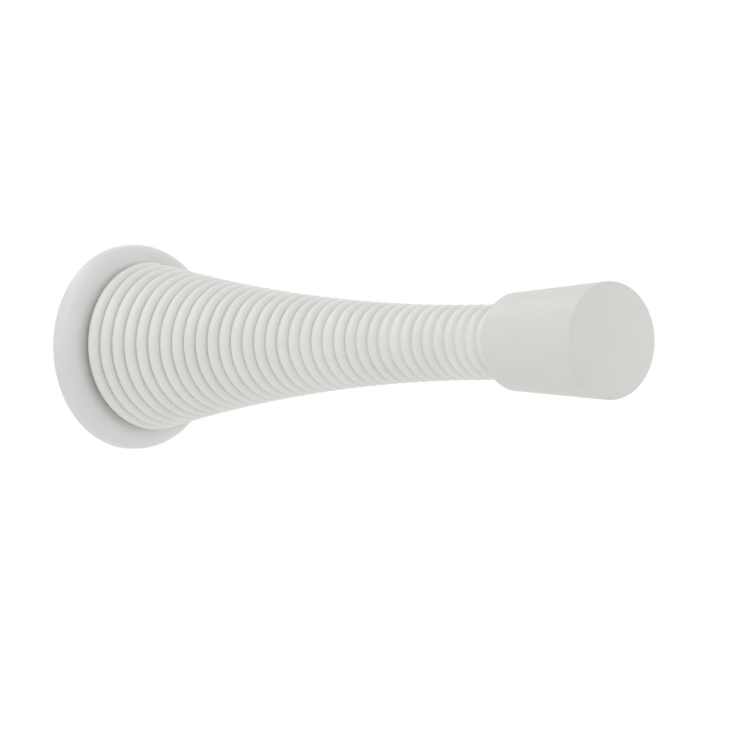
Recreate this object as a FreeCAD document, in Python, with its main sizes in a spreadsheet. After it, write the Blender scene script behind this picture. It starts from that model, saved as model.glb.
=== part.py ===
import FreeCAD, Part
import Sketcher
import math
import os

# Spring door stop: a cast flange screwed to the wall, a flared close-wound spring and a rubber tip.
# +X runs along the axis from the wall to the tip, +Z is up, and the origin is the centre of the
# flange's back face. Sizes are in millimetres and degrees.

doc = FreeCAD.newDocument("spring_door_stop")

# Driving dimensions

SIZES = {
    # Cast flange
    "flange_diameter": 23.7,
    "rim_height": 0.75,
    "seat_height": 2.7,
    "boss_height": 3.2,
    "boss_fit": 0.1,
    "boss_rounding": 0.5,
    "screw_hole_diameter": 4.5,
    "countersink_diameter": 8.6,
    "countersink_angle": 90.0,
    # Spring, with both of its coil diameters measured at the middle of the wire
    "wire_diameter": 1.75,
    "coil_gap": 0.05,
    "large_coil_diameter": 17.85,
    "small_coil_diameter": 6.75,
    "flare_length": 56.4,
    "straight_length": 14.6,
    "wire_end_angle": 85.0,
    # Rubber tip
    "tip_length": 16.0,
    "tip_back_diameter": 11.0,
    "tip_front_diameter": 13.2,
    "tip_crown": 0.35,
    "tip_front_rounding": 0.35,
    "tip_back_rounding": 0.25,
    "socket_depth": 9.0,
    "socket_fit": 0.04,
    "socket_end_gap": 0.1,
}

# Two biarcs a turn keep the wire within a few hundredths of a millimetre of the true winding
BIARCS_PER_TURN = 2

# An edge is found by its place to the first of these, and a volume is right to the second, as a share
PLACE_TOLERANCE = 1e-6
VOLUME_TOLERANCE = 1e-3

sheet = doc.addObject("Spreadsheet::Sheet", "Sizes")
for row, (name, value) in enumerate(SIZES.items(), start=1):
    sheet.set(f"A{row}", name)
    sheet.set(f"B{row}", str(value))
    sheet.setAlias(f"B{row}", name)
doc.recompute()

# Sizes worked out from the sheet's cells, as expressions

COIL_PITCH = "Sizes.wire_diameter + Sizes.coil_gap"
COIL_RISE = "((Sizes.large_coil_diameter - Sizes.small_coil_diameter) / 2)"
FLARE_RADIUS = f"(Sizes.flare_length ^ 2 + {COIL_RISE} ^ 2) / (2 * {COIL_RISE})"
FLARE_SLOPE = f"Sizes.flare_length / ({FLARE_RADIUS} - {COIL_RISE})"
SPRING_LENGTH = "Sizes.flare_length + Sizes.straight_length + Sizes.wire_diameter"
FLANGE_RADIUS = "Sizes.flange_diameter / 2"
RIM_ROUNDING = "Sizes.seat_height - Sizes.rim_height"
BOSS_TOP = "Sizes.seat_height + Sizes.boss_height"
BOSS_FOOT_RADIUS = "Sizes.large_coil_diameter / 2 - Sizes.wire_diameter / 2 - Sizes.boss_fit"
BOSS_TOP_RADIUS = f"{BOSS_FOOT_RADIUS} - Sizes.boss_height * {FLARE_SLOPE}"
TIP_BACK_RADIUS = "Sizes.tip_back_diameter / 2"
TIP_FRONT_RADIUS = "Sizes.tip_front_diameter / 2"
TIP_SIDE_END = "Sizes.tip_length - Sizes.tip_crown"
SOCKET_DIAMETER = "Sizes.small_coil_diameter + Sizes.wire_diameter + 2 * Sizes.socket_fit"
SOCKET_END = f"Sizes.seat_height + {SPRING_LENGTH} + Sizes.socket_end_gap"


def value_of(expression):
    """The value that an expression of the sheet's cells has now."""
    return float(sheet.evalExpression(expression))


# Sketches and the features made from them


def new_sketch(body, name, plane_role):
    """An empty sketch on one of a body's own origin planes."""
    planes = [plane for plane in body.Origin.OriginFeatures if plane.Role == plane_role]
    sketch = body.newObject("Sketcher::SketchObject", name)
    sketch.AttachmentSupport = [(planes[0], "")]
    sketch.MapMode = "FlatFace"
    return sketch


def hold_corner(sketch, corner, direction, other_axis, expression):
    """Hold a corner on the other axis, or at the distance from it that an expression gives."""
    if expression == "0":
        sketch.addConstraint(Sketcher.Constraint("PointOnObject", *corner, other_axis))
        return
    distance = Sketcher.Constraint(direction, -1, 1, *corner, value_of(expression))
    index = sketch.addConstraint(distance)
    sketch.setExpression(f"Constraints[{index}]", expression)


def crown_arc(start, end):
    """The arc from the axis at an end back to a start, with its middle on the axis."""
    rise = end.x - start.x
    radius = (start.y**2 + rise**2) / (2 * rise)
    middle = FreeCAD.Vector(end.x - radius, 0, 0)
    circle = Part.Circle(middle, FreeCAD.Vector(0, 0, 1), radius)
    return Part.ArcOfCircle(circle, 0, math.asin(start.y / radius))


def turned_solid(body, corners, crowned=None):
    """A solid turned about the X axis from a profile, given as each corner's distance along and radius.

    The sides are straight, apart from a crowned one, which starts at the corner of that number and
    ends square to the axis.
    """
    sketch = new_sketch(body, body.Name + "_profile", "XY_Plane")
    places = [FreeCAD.Vector(value_of(along), value_of(radius), 0) for along, radius in corners]
    starts, ends = [], []
    for side, (start, end) in enumerate(zip(places, places[1:] + places[:1])):
        if side == crowned:
            sketch.addGeometry(crown_arc(start, end), False)
            sketch.addConstraint(Sketcher.Constraint("PointOnObject", side, 3, -1))
        else:
            sketch.addGeometry(Part.LineSegment(start, end), False)
        starts.append((side, 2 if side == crowned else 1))
        ends.append((side, 1 if side == crowned else 2))
    for corner, end, (along, radius) in zip(starts, ends[-1:] + ends[:-1], corners):
        sketch.addConstraint(Sketcher.Constraint("Coincident", *end, *corner))
        hold_corner(sketch, corner, "DistanceX", -2, along)
        hold_corner(sketch, corner, "DistanceY", -1, radius)
    turned = body.newObject("PartDesign::Revolution", body.Name + "_turned")
    turned.Profile = sketch
    turned.ReferenceAxis = (sketch, ["H_Axis"])
    turned.Angle = 360
    doc.recompute()
    return turned


def circle_sketch(body, name, along, diameter):
    """A circle on the axis, facing +X, at a distance from the body's back face."""
    sketch = new_sketch(body, name, "YZ_Plane")
    sketch.setExpression("AttachmentOffset.Base.z", along)
    middle = FreeCAD.Vector(0, 0, 0)
    normal = FreeCAD.Vector(0, 0, 1)
    sketch.addGeometry(Part.Circle(middle, normal, value_of(diameter) / 2), False)
    sketch.addConstraint(Sketcher.Constraint("Coincident", 0, 3, -1, 1))
    index = sketch.addConstraint(Sketcher.Constraint("Diameter", 0, value_of(diameter)))
    sketch.setExpression(f"Constraints[{index}]", diameter)
    doc.recompute()
    return sketch


def round_edge(body, name, base, along, radius, rounding):
    """Round the circular edge at a distance along the axis and a radius."""
    wanted = (value_of(along), value_of(radius))
    names = []
    for index, edge in enumerate(base.Shape.Edges, start=1):
        if edge.Degenerated:
            continue
        ring = edge.Curve
        if ring.TypeId != "Part::GeomCircle":
            continue
        if math.dist((ring.Center.x, ring.Radius), wanted) < PLACE_TOLERANCE:
            names.append(f"Edge{index}")
    fillet = body.newObject("PartDesign::Fillet", name)
    fillet.Base = (base, names)
    fillet.setExpression("Radius", rounding)
    doc.recompute()
    return fillet


# The cast flange


def make_base():
    """The flange: a disc rounded over from its rim to the spring's seat, and the boss inside the spring."""
    body = doc.addObject("PartDesign::Body", "base")
    corners = [
        ("0", "0"),
        ("0", FLANGE_RADIUS),
        ("Sizes.seat_height", FLANGE_RADIUS),
        ("Sizes.seat_height", BOSS_FOOT_RADIUS),
        (BOSS_TOP, BOSS_TOP_RADIUS),
        (BOSS_TOP, "0"),
    ]
    turned = turned_solid(body, corners)
    rim = round_edge(body, "base_rim", turned, "Sizes.seat_height", FLANGE_RADIUS, RIM_ROUNDING)
    boss = round_edge(body, "base_boss", rim, BOSS_TOP, BOSS_TOP_RADIUS, "Sizes.boss_rounding")

    # The screw goes in from the front, before the spring, and its head sits in the boss
    hole_sketch = circle_sketch(body, "base_screw_mouth", BOSS_TOP, "Sizes.screw_hole_diameter")
    hole = body.newObject("PartDesign::Hole", "base_screw_hole")
    hole.Profile = hole_sketch
    hole.DepthType = "ThroughAll"
    hole.ThreadType = "None"
    hole.setExpression("Diameter", "Sizes.screw_hole_diameter")
    hole.HoleCutType = "Countersink"
    hole.HoleCutCustomValues = True
    hole.setExpression("HoleCutDiameter", "Sizes.countersink_diameter")
    hole.setExpression("HoleCutCountersinkAngle", "Sizes.countersink_angle")
    doc.recompute()
    if hole.Shape.Volume >= boss.Shape.Volume:
        raise ValueError("the screw hole cuts nothing")
    return body


# The spring


class Winding:
    """The line that the middle of the wire follows, from the large end to the small end.

    The coil's outline leaves the large end on an arc of the flare's radius, which ends tangent to
    the straight small end. Each pitch along that outline is one right-handed turn.
    """

    def __init__(self):
        self.wire = value_of("Sizes.wire_diameter")
        self.pitch = value_of(COIL_PITCH)
        self.flare_length = value_of("Sizes.flare_length")
        self.flare_radius = value_of(FLARE_RADIUS)
        self.flare_angle = math.asin(self.flare_length / self.flare_radius)
        self.flare_arc = self.flare_radius * self.flare_angle
        self.small_radius = value_of("Sizes.small_coil_diameter / 2")
        self.start_angle = math.radians(value_of("Sizes.wire_end_angle"))
        self.outline = self.flare_arc + value_of("Sizes.straight_length")
        self.turns = self.outline / self.pitch

    def station(self, distance):
        """The wire's place and course at a distance along the coil's outline."""
        slope = max(self.flare_angle - distance / self.flare_radius, 0)
        past_flare = max(distance - self.flare_arc, 0)
        along = self.flare_length - self.flare_radius * math.sin(slope) + past_flare
        radius = self.small_radius + self.flare_radius * (1 - math.cos(slope))
        angle = self.start_angle + 2 * math.pi * distance / self.pitch
        forward = FreeCAD.Vector(1, 0, 0)
        outward = FreeCAD.Vector(0, math.cos(angle), math.sin(angle))
        around = forward.cross(outward)
        place = forward * (along + self.wire / 2) + outward * radius
        turning = around * (2 * math.pi * radius / self.pitch)
        course = forward * math.cos(slope) - outward * math.sin(slope) + turning
        return place, course.normalize()


def arc_from(start, course, end):
    """The arc that leaves a start along a course and reaches an end."""
    chord = end - start
    across = FreeCAD.Vector(chord).normalize()
    sideways = (course - across * course.dot(across)).normalize()
    half_turn = math.acos(course.dot(across))
    middle = (start + end) * 0.5 + sideways * (chord.Length / 2 * math.tan(half_turn / 2))
    return Part.Arc(start, middle, end).toShape()


def biarc(first, second):
    """Two arcs, tangent to each other, that join two stations and match the course at both."""
    start, start_course = first
    end, end_course = second
    chord = end - start
    ahead = chord.dot(start_course + end_course)
    bend = 2 * (1 - start_course.dot(end_course))
    reach = (math.sqrt(ahead**2 + bend * chord.dot(chord)) - ahead) / bend
    start_handle = start + start_course * reach
    end_handle = end - end_course * reach
    meeting = (start_handle + end_handle) * 0.5
    meeting_course = (end_handle - start_handle).normalize()
    return [arc_from(start, start_course, meeting), arc_from(meeting, meeting_course, end)]


def make_spring():
    """The flared close-wound spring: round wire swept along a path of tangent arcs."""
    winding = Winding()
    steps = math.ceil(winding.turns * BIARCS_PER_TURN)
    stations = [winding.station(winding.outline * step / steps) for step in range(steps + 1)]
    arcs = [arc for pair in zip(stations, stations[1:]) for arc in biarc(*pair)]
    path = doc.addObject("Part::Feature", "spring_path")
    path.Shape = Part.Wire(arcs)

    place, course = stations[0]
    section = doc.addObject("Part::Circle", "spring_section")
    section.setExpression("Radius", "Sizes.wire_diameter / 2")
    section.Placement = FreeCAD.Placement(place, FreeCAD.Rotation(FreeCAD.Vector(0, 0, 1), course))

    spring = doc.addObject("Part::Sweep", "spring")
    spring.Sections = [section]
    spring.Spine = (path, [])
    spring.Solid = True
    spring.Frenet = False
    spring.setExpression("Placement.Base.x", "Sizes.seat_height")
    doc.recompute()

    # The coil must have the volume of its wire's section times its length
    wanted = math.pi * winding.wire**2 / 4 * path.Shape.Length
    if not math.isclose(spring.Shape.Volume, wanted, rel_tol=VOLUME_TOLERANCE):
        raise ValueError("the spring's volume isn't its section times its length")
    return spring


# The rubber tip


def make_bumper_tip():
    """The tip: a tapered plug with a crowned face and a blind socket pushed over the spring's small end."""
    body = doc.addObject("PartDesign::Body", "bumper_tip")
    corners = [
        ("0", "0"),
        ("0", TIP_BACK_RADIUS),
        (TIP_SIDE_END, TIP_FRONT_RADIUS),
        ("Sizes.tip_length", "0"),
    ]
    turned = turned_solid(body, corners, crowned=2)
    front = round_edge(body, "tip_front", turned, TIP_SIDE_END, TIP_FRONT_RADIUS, "Sizes.tip_front_rounding")
    back = round_edge(body, "tip_back", front, "0", TIP_BACK_RADIUS, "Sizes.tip_back_rounding")

    socket_sketch = circle_sketch(body, "tip_socket_mouth", "0", SOCKET_DIAMETER)
    socket = body.newObject("PartDesign::Pocket", "tip_socket")
    socket.Profile = socket_sketch
    socket.setExpression("Length", "Sizes.socket_depth")
    socket.Reversed = True
    doc.recompute()
    if socket.Shape.Volume >= back.Shape.Volume:
        raise ValueError("the socket cuts nothing")
    body.setExpression("Placement.Base.x", f"{SOCKET_END} - Sizes.socket_depth")
    return body


# Build, test and write the pieces

pieces = [make_base(), make_spring(), make_bumper_tip()]
doc.recompute()

for item in doc.Objects:
    if "Invalid" in item.State or "Error" in item.State:
        raise ValueError(f"{item.Name} is {item.State}")
for piece in pieces:
    if piece.Shape.isNull() or not piece.Shape.isValid():
        raise ValueError(f"{piece.Label} has no valid shape")

os.makedirs("parts", exist_ok=True)
for piece in pieces:
    piece.Shape.exportStep(f"parts/{piece.Label}.step")
    box = piece.Shape.optimalBoundingBox()
    print(piece.Label, round(piece.Shape.Volume, 1), "from", round(box.XMin, 2), "to", round(box.XMax, 2))
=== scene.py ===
import math

import bmesh
import bpy
from mathutils import Matrix, Vector, noise as smooth_noise


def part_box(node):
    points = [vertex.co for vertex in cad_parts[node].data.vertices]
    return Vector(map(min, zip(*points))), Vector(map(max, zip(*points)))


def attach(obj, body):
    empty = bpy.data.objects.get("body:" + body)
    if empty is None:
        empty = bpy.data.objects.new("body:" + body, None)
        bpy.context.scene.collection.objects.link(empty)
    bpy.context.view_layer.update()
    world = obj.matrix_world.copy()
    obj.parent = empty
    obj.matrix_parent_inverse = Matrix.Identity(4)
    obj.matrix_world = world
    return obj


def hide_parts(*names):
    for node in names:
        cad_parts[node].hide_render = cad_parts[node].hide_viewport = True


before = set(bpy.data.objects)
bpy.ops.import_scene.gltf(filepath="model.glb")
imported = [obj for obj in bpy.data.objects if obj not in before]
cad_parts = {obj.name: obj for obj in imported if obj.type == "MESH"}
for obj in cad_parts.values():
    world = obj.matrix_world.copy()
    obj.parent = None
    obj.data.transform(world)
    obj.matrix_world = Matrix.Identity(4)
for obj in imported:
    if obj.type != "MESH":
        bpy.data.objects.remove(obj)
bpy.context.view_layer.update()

MM = 0.001
WHITE = (1, 1, 1, 1)

# Spring, with the coil's radii measured at the middle of the wire

WIRE_RADIUS = 0.875 * MM
COIL_GAP = 0.05 * MM
COIL_PITCH = 2 * WIRE_RADIUS + COIL_GAP
LARGE_RADIUS = 8.925 * MM
SMALL_RADIUS = 3.375 * MM
FLARE_LENGTH = 56.4 * MM
STRAIGHT_LENGTH = 14.6 * MM
WIRE_END_ANGLE = math.radians(85)

# Paint in the valleys between the turns: the radius of its hollow is half the gap and a fill

FILL_AT_LARGE_END = 0.006 * MM
FILL_AT_SMALL_END = 0.22 * MM
FILL_GROWTH = 1.5
FILL_CHANGE = 0.5
FILL_WAVES_PER_TURN = 2
PAINT_STEPS_PER_TURN = 72
HOLLOW_STEPS = 6
PAINT_ROOT = 0.6

# Rubber tip

TIP_BACK_RADIUS = 5.5 * MM
TIP_FRONT_RADIUS = 6.6 * MM
TIP_CROWN = 0.35 * MM
TIP_FRONT_ROUNDING = 0.45 * MM
TIP_BACK_ROUNDING = 0.25 * MM
SOCKET_FIT = 0.04 * MM
SOCKET_RADIUS = SMALL_RADIUS + WIRE_RADIUS + SOCKET_FIT
SOCKET_DEPTH = 9 * MM
TURNED_SEGMENTS = 192
ROUNDING_STEPS = 8
CROWN_STEPS = 12
SHARP_ANGLE = math.radians(30)

# Satin white paint: its colours where the coat is thin and full, the grain and depth of its surface

# The flange's colours are set darker and cooler than the spring's: painted shade standing in for the shade
# that falls on the flange.
FLANGE_SHADED_THIN = (0.663, 0.668, 0.657, 1)
FLANGE_SHADED_FULL = (0.688, 0.693, 0.681, 1)
SPRING_THIN = (0.703, 0.709, 0.68, 1)
SPRING_FULL = (0.738, 0.745, 0.715, 1)
PAINT_TONE_GRAIN = 6 * MM
PAINT_ROUGHNESS = (0.37, 0.43)
PAINT_ROUGHNESS_GRAIN = 2.5 * MM
PAINT_COAT = 0.6
PAINT_COAT_ROUGHNESS = 0.35
PAINT_WAVE_GRAIN = 1.6 * MM
PAINT_WAVE_DEPTH = 0.03 * MM
PEEL_GRAIN = 0.35 * MM
PEEL_DEPTH = 0.008 * MM

# White rubber

RUBBER_DARK = (0.652, 0.647, 0.622, 1)
RUBBER_LIGHT = (0.667, 0.663, 0.639, 1)
RUBBER_TONE_GRAIN = 5 * MM
RUBBER_ROUGHNESS = (0.36, 0.42)
RUBBER_ROUGHNESS_GRAIN = 1.5 * MM
RUBBER_GRAIN = 0.2 * MM
RUBBER_GRAIN_DEPTH = 0.006 * MM

# Noise: the range that its values mostly lie in, and how many finer layers it has

NOISE_RANGE = (0.3, 0.7)
SLOW_NOISE_DETAIL = 2.0
FINE_NOISE_DETAIL = 1.0

# Camera, found by fitting the model's outline to the photograph's

IMAGE_SIZE = 736
SENSOR_WIDTH = 36.0
VIEW_AZIMUTH = math.radians(48.456)
VIEW_ELEVATION = math.radians(-0.532)
VIEW_DISTANCE = 1180 * MM
PIXELS_PER_METRE = 8820
AIM_ALONG_AXIS = 41 * MM
AIM_RIGHT = 0.324 * MM
AIM_UP = -2.746 * MM

# Directions of the photograph's view

TOWARDS_CAMERA = Vector(
    (
        math.sin(VIEW_AZIMUTH) * math.cos(VIEW_ELEVATION),
        -math.cos(VIEW_AZIMUTH) * math.cos(VIEW_ELEVATION),
        math.sin(VIEW_ELEVATION),
    )
)
RIGHT = Vector((math.cos(VIEW_AZIMUTH), math.sin(VIEW_AZIMUTH), 0))
UP = TOWARDS_CAMERA.cross(RIGHT)

# Stage

FLOOR_HEIGHT = -50 * MM
FLOOR_SIZE = 6.0
FLOOR_COLOUR = (0.86, 0.86, 0.85, 1)
FLOOR_ROUGHNESS = 0.9
FLOOR_GLOW = 0.1
SHADOW_REACH = (0.10, 0.20)
WORLD_STRENGTH = 0.805

# Soft lamps: direction from the part as the camera sees it (right, up, nearer), size and light level

LAMPS = {
    "key": ((-0.67, 0.66, 0.23), 0.7, 0.165),
    "front": ((0.1, 0.1, 0.98), 0.8, 0.08),
    "back": ((-0.55, 0.64, -0.52), 0.28, 0.03),
    "right": ((0.95, 0.1, -0.15), 0.4, 0.1),
}
LAMP_DISTANCE = 0.9


# Node helpers


def new_material(name):
    """A node material, its node tree and its Principled shader."""
    material = bpy.data.materials.new(name)
    material.use_nodes = True
    tree = material.node_tree
    return material, tree, tree.nodes["Principled BSDF"]


def noise(tree, grain, detail=SLOW_NOISE_DETAIL):
    """A noise texture in the part's own frame, whose grain is a length in metres."""
    place = tree.nodes.new("ShaderNodeTexCoord")
    texture = tree.nodes.new("ShaderNodeTexNoise")
    texture.inputs["Scale"].default_value = 1 / grain
    texture.inputs["Detail"].default_value = detail
    tree.links.new(place.outputs["Object"], texture.inputs["Vector"])
    return texture.outputs["Fac"]


def remap(tree, value, source=(0, 1), target=(0, 1), curve="LINEAR"):
    """A value brought from one range to another."""
    node = tree.nodes.new("ShaderNodeMapRange")
    node.interpolation_type = curve
    for name, limit in zip(("From Min", "From Max", "To Min", "To Max"), (*source, *target)):
        node.inputs[name].default_value = limit
    tree.links.new(value, node.inputs["Value"])
    return node.outputs["Result"]


def blend_colours(tree, factor, first, second):
    """A colour between two, by a factor."""
    mix = tree.nodes.new("ShaderNodeMix")
    mix.data_type = "RGBA"
    mix.inputs["A"].default_value = first
    mix.inputs["B"].default_value = second
    tree.links.new(factor, mix.inputs["Factor"])
    return mix.outputs["Result"]


def bump(tree, height, depth, under=None):
    """A bump of a depth in metres, over another one where there is one."""
    node = tree.nodes.new("ShaderNodeBump")
    node.inputs["Strength"].default_value = 1.0
    node.inputs["Distance"].default_value = depth
    tree.links.new(height, node.inputs["Height"])
    if under:
        tree.links.new(under, node.inputs["Normal"])
    return node.outputs["Normal"]


def join_values(tree, operation, first, second):
    """Two values joined by an operation, such as their product or the larger one."""
    node = tree.nodes.new("ShaderNodeMath")
    node.operation = operation
    tree.links.new(first, node.inputs[0])
    tree.links.new(second, node.inputs[1])
    return node.outputs["Value"]


def mix_shaders(tree, factor, first, second):
    """A shader between two, by a factor."""
    node = tree.nodes.new("ShaderNodeMixShader")
    tree.links.new(factor, node.inputs["Fac"])
    tree.links.new(first, node.inputs[1])
    tree.links.new(second, node.inputs[2])
    return node.outputs["Shader"]


# Materials


def set_tone(tree, shader, grain, first, second):
    """Let the shader's colour drift slowly between two."""
    tone = remap(tree, noise(tree, grain), NOISE_RANGE)
    tree.links.new(blend_colours(tree, tone, first, second), shader.inputs["Base Color"])


def set_roughness(tree, shader, grain, limits):
    """Let the shader's roughness drift between two limits."""
    roughness = remap(tree, noise(tree, grain), NOISE_RANGE, limits)
    tree.links.new(roughness, shader.inputs["Roughness"])


def white_paint(name, thin, full):
    """Satin white paint baked on metal: a faint orange peel and a slow drift of tone and gloss."""
    material, tree, shader = new_material(name)
    set_tone(tree, shader, PAINT_TONE_GRAIN, thin, full)
    set_roughness(tree, shader, PAINT_ROUGHNESS_GRAIN, PAINT_ROUGHNESS)
    shader.inputs["Coat Weight"].default_value = PAINT_COAT
    shader.inputs["Coat Roughness"].default_value = PAINT_COAT_ROUGHNESS
    waves = bump(tree, noise(tree, PAINT_WAVE_GRAIN), PAINT_WAVE_DEPTH)
    peel = bump(tree, noise(tree, PEEL_GRAIN, FINE_NOISE_DETAIL), PEEL_DEPTH, waves)
    tree.links.new(peel, shader.inputs["Normal"])
    return material


def white_rubber():
    """Moulded rubber with a low sheen: a fine grain and a slow drift of tone."""
    material, tree, shader = new_material("white_rubber")
    set_tone(tree, shader, RUBBER_TONE_GRAIN, RUBBER_DARK, RUBBER_LIGHT)
    set_roughness(tree, shader, RUBBER_ROUGHNESS_GRAIN, RUBBER_ROUGHNESS)
    grain = bump(tree, noise(tree, RUBBER_GRAIN, FINE_NOISE_DETAIL), RUBBER_GRAIN_DEPTH)
    tree.links.new(grain, shader.inputs["Normal"])
    return material


def dress(node, material):
    """Give a CAD node a material in every slot."""
    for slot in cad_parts[node].material_slots:
        slot.material = material


# Meshes


def smooth_piece(name, mesh, material):
    """A smooth-shaded piece of a material, made from a mesh with its faces turned outwards."""
    bmesh.ops.recalc_face_normals(mesh, faces=mesh.faces)
    data = bpy.data.meshes.new(name)
    mesh.to_mesh(data)
    mesh.free()
    data.polygons.foreach_set("use_smooth", [True] * len(data.polygons))
    data.materials.append(material)
    piece = bpy.data.objects.new(name, data)
    bpy.context.scene.collection.objects.link(piece)
    return piece


def about_axis(along, radius, angle):
    """A place given by its distance along the axis, its radius and its angle."""
    return (along, radius * math.cos(angle), radius * math.sin(angle))


# Paint between the turns


class Winding:
    """The line of the wire's middle: an arc-shaped flare, then a straight stretch, wound right-handed."""

    def __init__(self):
        rise = LARGE_RADIUS - SMALL_RADIUS
        self.flare_radius = (FLARE_LENGTH**2 + rise**2) / (2 * rise)
        self.flare_angle = math.asin(FLARE_LENGTH / self.flare_radius)
        self.flare_arc = self.flare_radius * self.flare_angle
        self.outline = self.flare_arc + STRAIGHT_LENGTH
        self.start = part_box("spring")[0][0] + WIRE_RADIUS

    def section(self, distance):
        """The wire's middle in the plane through the axis: distance along it, and radius."""
        slope = max(self.flare_angle - distance / self.flare_radius, 0)
        past_flare = max(distance - self.flare_arc, 0)
        along = self.start + FLARE_LENGTH - self.flare_radius * math.sin(slope) + past_flare
        radius = SMALL_RADIUS + self.flare_radius * (1 - math.cos(slope))
        return Vector((along, radius))


def hollow_radius(distance, length):
    """The radius of the paint's hollow, which grows towards the small end and wavers on the way."""
    share = distance / length
    fill = FILL_AT_LARGE_END + (FILL_AT_SMALL_END - FILL_AT_LARGE_END) * share**FILL_GROWTH
    wave = smooth_noise.noise(Vector((FILL_WAVES_PER_TURN * distance / COIL_PITCH, 0, 0)))
    return COIL_GAP / 2 + fill * (1 + FILL_CHANGE * wave)


def paint_section(first, second, hollow):
    """A ring of points round the paint between two turns, hollow on its outside and rooted in the wire."""
    middle = (first + second) / 2
    across = (second - first).normalized()
    outward = Vector((-across.y, across.x))
    reach = WIRE_RADIUS + hollow
    centre = middle + outward * math.sqrt(reach**2 - (second - first).length_squared / 4)
    edges = [end + (centre - end) * (WIRE_RADIUS / reach) for end in (first, second)]
    half_angle = math.acos(min((centre - edges[0]).dot(outward) / hollow, 1))
    ring = []
    for step in range(HOLLOW_STEPS + 1):
        angle = half_angle * (2 * step / HOLLOW_STEPS - 1)
        ring.append(centre + (across * math.sin(angle) - outward * math.cos(angle)) * hollow)
    for end, edge in ((second, edges[1]), (first, edges[0])):
        ring.append(end + (edge - end) * PAINT_ROOT)
    return ring


def make_paint_between_turns(material):
    """The paint that has run into the valleys between the turns, thickest towards the small end."""
    winding = Winding()
    mesh = bmesh.new()
    length = winding.outline - COIL_PITCH
    steps = round(length / COIL_PITCH * PAINT_STEPS_PER_TURN)
    rings = []
    for step in range(steps + 1):
        distance = length * step / steps
        turns = [winding.section(distance), winding.section(distance + COIL_PITCH)]
        section = paint_section(*turns, hollow_radius(distance, length))
        angle = WIRE_END_ANGLE + math.tau * distance / COIL_PITCH
        rings.append([mesh.verts.new(about_axis(along, radius, angle)) for along, radius in section])
    for ring, ahead in zip(rings, rings[1:]):
        for corner in range(len(ring)):
            following = (corner + 1) % len(ring)
            mesh.faces.new((ring[corner], ahead[corner], ahead[following], ring[following]))
    mesh.faces.new(rings[0])
    mesh.faces.new(reversed(rings[-1]))
    piece = smooth_piece("paint_between_turns", mesh, material)
    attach(piece, "root")


# Turned rubber tip


def rounding(corner, before, after, radius):
    """Points round a corner of a profile, between the outward normals of the sides before and after it."""
    centre = corner - (before + after) * (radius / (1 + before.dot(after)))
    turn = before.angle_signed(after)
    points = []
    for step in range(ROUNDING_STEPS + 1):
        normal = before.copy()
        normal.rotate(Matrix.Rotation(-turn * step / ROUNDING_STEPS, 2))
        points.append(centre + normal * radius)
    return points


def tip_profile():
    """The tip's section from the middle of its socket round to the middle of its crowned face."""
    back, front = (corner[0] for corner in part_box("bumper_tip"))
    crown_radius = (TIP_FRONT_RADIUS**2 + TIP_CROWN**2) / (2 * TIP_CROWN)
    back_corner = Vector((back, TIP_BACK_RADIUS))
    front_corner = Vector((front - TIP_CROWN, TIP_FRONT_RADIUS))
    side = (front_corner - back_corner).normalized()
    side_normal = Vector((-side.y, side.x))
    edge_angle = math.asin(TIP_FRONT_RADIUS / crown_radius)
    edge_normal = Vector((math.cos(edge_angle), math.sin(edge_angle)))
    profile = [
        Vector((back + SOCKET_DEPTH, 0)),
        Vector((back + SOCKET_DEPTH, SOCKET_RADIUS)),
        Vector((back, SOCKET_RADIUS)),
    ]
    profile += rounding(back_corner, Vector((-1, 0)), side_normal, TIP_BACK_ROUNDING)
    profile += rounding(front_corner, side_normal, edge_normal, TIP_FRONT_ROUNDING)
    crown_edge = profile[-1].y
    for step in range(1, CROWN_STEPS + 1):
        radius = crown_edge * (1 - step / CROWN_STEPS)
        along = front - crown_radius + math.sqrt(crown_radius**2 - radius**2)
        profile.append(Vector((along, radius)))
    return profile


def make_tip(material):
    """The rubber tip, turned about the axis, with a single point where its profile meets the axis."""
    mesh = bmesh.new()
    rings = []
    for along, radius in tip_profile():
        count = TURNED_SEGMENTS if radius else 1
        angles = [math.tau * segment / TURNED_SEGMENTS for segment in range(count)]
        rings.append([mesh.verts.new(about_axis(along, radius, angle)) for angle in angles])
    for ring, following in zip(rings, rings[1:]):
        for segment in range(TURNED_SEGMENTS):
            ends = (segment, (segment + 1) % TURNED_SEGMENTS)
            corners = [ring[end % len(ring)] for end in ends]
            corners += [following[end % len(following)] for end in reversed(ends)]
            without_repeats = list(dict.fromkeys(corners))
            mesh.faces.new(without_repeats)
    piece = smooth_piece("rubber_tip", mesh, material)
    piece.data.set_sharp_from_angle(angle=SHARP_ANGLE)
    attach(piece, "root")
    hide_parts("bumper_tip")


# Stage and light


def camera_sees(tree):
    """1 for rays from the camera, from mirrors and through glass, and 0 for rays that light the part."""
    path = tree.nodes.new("ShaderNodeLightPath")
    seen = path.outputs["Is Camera Ray"]
    for kind in ("Is Glossy Ray", "Is Transmission Ray"):
        seen = join_values(tree, "MAXIMUM", seen, path.outputs[kind])
    return seen


def make_world():
    """A white background that lights the part at a plain level."""
    world = bpy.data.worlds.new("studio")
    bpy.context.scene.world = world
    world.use_nodes = True
    tree = world.node_tree
    background = tree.nodes["Background"]
    background.inputs["Color"].default_value = WHITE
    strength = remap(tree, camera_sees(tree), target=(WORLD_STRENGTH, 1))
    tree.links.new(strength, background.inputs["Strength"])


def past_shadow(tree):
    """0 on the floor under the part, rising to 1 past the reach of its shadow."""
    place = tree.nodes.new("ShaderNodeTexCoord")
    distance = tree.nodes.new("ShaderNodeVectorMath")
    distance.operation = "LENGTH"
    tree.links.new(place.outputs["Object"], distance.inputs[0])
    return remap(tree, distance.outputs["Value"], SHADOW_REACH, curve="SMOOTHSTEP")


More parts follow.
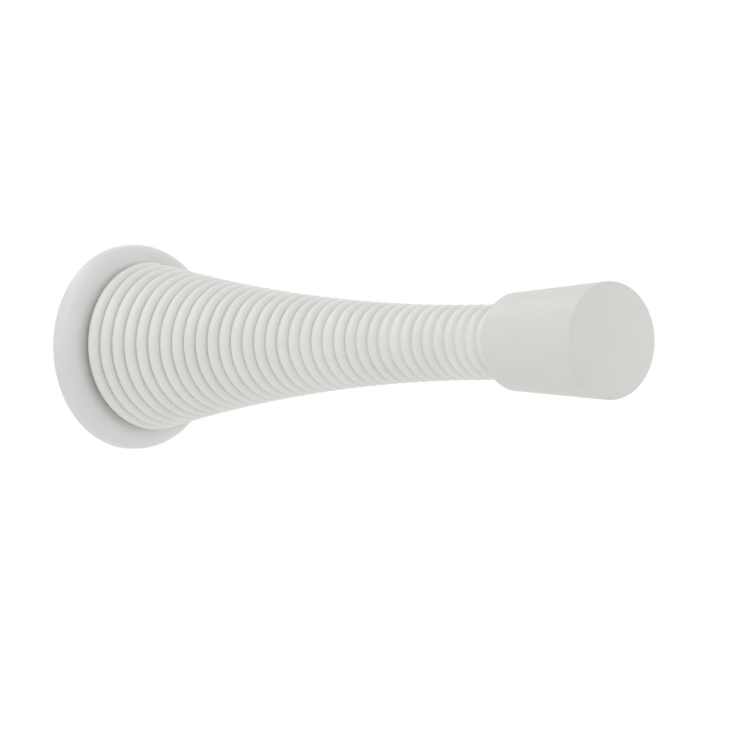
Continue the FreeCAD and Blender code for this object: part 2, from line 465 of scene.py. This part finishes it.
def floor_material():
    """Pale and faintly glowing, white to the camera past the part's shadow, and clear from below."""
    material, tree, shader = new_material("floor")
    shader.inputs["Base Color"].default_value = FLOOR_COLOUR
    shader.inputs["Roughness"].default_value = FLOOR_ROUGHNESS
    shader.inputs["Specular IOR Level"].default_value = 0
    shader.inputs["Emission Color"].default_value = WHITE
    shader.inputs["Emission Strength"].default_value = FLOOR_GLOW
    white = tree.nodes.new("ShaderNodeEmission")
    share = join_values(tree, "MULTIPLY", past_shadow(tree), camera_sees(tree))
    above = mix_shaders(tree, share, shader.outputs["BSDF"], white.outputs["Emission"])
    side = tree.nodes.new("ShaderNodeNewGeometry")
    clear = tree.nodes.new("ShaderNodeBsdfTransparent")
    surface = mix_shaders(tree, side.outputs["Backfacing"], above, clear.outputs["BSDF"])
    tree.links.new(surface, tree.nodes["Material Output"].inputs["Surface"])
    return material


def make_floor():
    """A plain floor below the part."""
    bpy.ops.mesh.primitive_plane_add(size=FLOOR_SIZE, location=(AIM_ALONG_AXIS, 0, FLOOR_HEIGHT))
    floor = bpy.context.object
    floor.name = "floor"
    floor.data.materials.append(floor_material())


def area_lamp(name, direction, size, level):
    """A soft square lamp that gives a white surface which faces it the level's share of white."""
    right, up, nearer = direction
    data = bpy.data.lights.new(name, "AREA")
    data.size = size
    data.energy = math.pi**2 * level * LAMP_DISTANCE**2
    lamp = bpy.data.objects.new(name, data)
    bpy.context.scene.collection.objects.link(lamp)
    away = (RIGHT * right + UP * up + TOWARDS_CAMERA * nearer).normalized()
    lamp.location = Vector((AIM_ALONG_AXIS, 0, 0)) + away * LAMP_DISTANCE
    lamp.rotation_euler = (-away).to_track_quat("-Z", "Y").to_euler()


def make_camera():
    """The photograph's camera: far away, with a long lens."""
    data = bpy.data.cameras.new("camera")
    data.sensor_width = SENSOR_WIDTH
    data.lens = PIXELS_PER_METRE * VIEW_DISTANCE * SENSOR_WIDTH / IMAGE_SIZE
    camera = bpy.data.objects.new("camera", data)
    bpy.context.scene.collection.objects.link(camera)
    aim = Vector((AIM_ALONG_AXIS, 0, 0)) + RIGHT * AIM_RIGHT + UP * AIM_UP
    camera.location = aim + TOWARDS_CAMERA * VIEW_DISTANCE
    camera.rotation_euler = (-TOWARDS_CAMERA).to_track_quat("-Z", "Y").to_euler()
    bpy.context.scene.camera = camera


# The dressed part on its stage

# The flange's paint carries painted shade: it is darker and cooler than the spring's paint.
flange_paint_with_painted_shade = white_paint("flange_paint_with_painted_shade", FLANGE_SHADED_THIN, FLANGE_SHADED_FULL)
spring_paint = white_paint("spring_paint", SPRING_THIN, SPRING_FULL)
dress("base", flange_paint_with_painted_shade)
dress("spring", spring_paint)
make_paint_between_turns(spring_paint)
make_tip(white_rubber())
make_world()
make_floor()
for lamp_name, (direction, size, level) in LAMPS.items():
    area_lamp(lamp_name, direction, size, level)
make_camera()
bpy.context.scene.view_settings.view_transform = "Standard"
